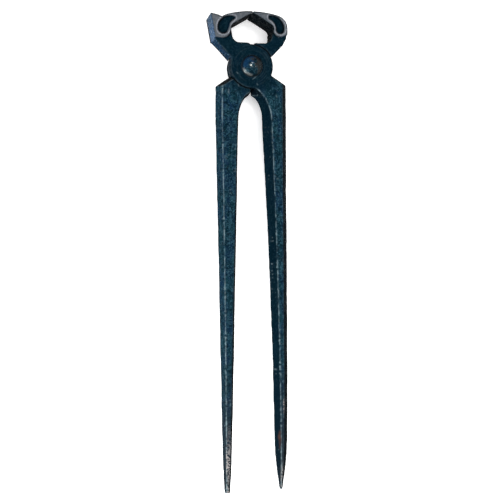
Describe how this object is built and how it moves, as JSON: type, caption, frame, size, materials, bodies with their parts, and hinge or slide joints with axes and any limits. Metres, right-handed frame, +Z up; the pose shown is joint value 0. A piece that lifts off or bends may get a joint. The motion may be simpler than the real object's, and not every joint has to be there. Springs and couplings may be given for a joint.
{
  "type": "fencing pliers",
  "caption": "Forged vineyard pincers with nipping jaws, a hammer poll on one jaw, a lapped riveted joint and long pointed handles.",
  "frame": {"origin": "middle of the tool's underside, with the tool lying on its back and its jaws closed", "axes": "+Y towards the jaws, +Z up through the rivet's domed head, +X towards the plain jaw and the handle of the hammer lever"},
  "size_m": [0.0506, 0.3, 0.022],
  "materials": {
    "forged_steel": "dark blue-black forge scale, with the flats of the jaws and the striking face ground bright",
    "rivet_steel": "dark hammered rivet steel, polished a little on the dome"
  },
  "bodies": {
    "plain_side": {"plain_lever": "forged_steel", "pivot_rivet": "rivet_steel"},
    "hammer_side": {"hammer_lever": "forged_steel"}
  },
  "joints": [
    {"name": "pivot", "type": "hinge", "parent": "plain_side", "child": "hammer_side", "pos_m": [0.00107, 0.1165, 0.011], "axis": [0, 0, 1], "range_deg": [0, 38]}
  ]
}
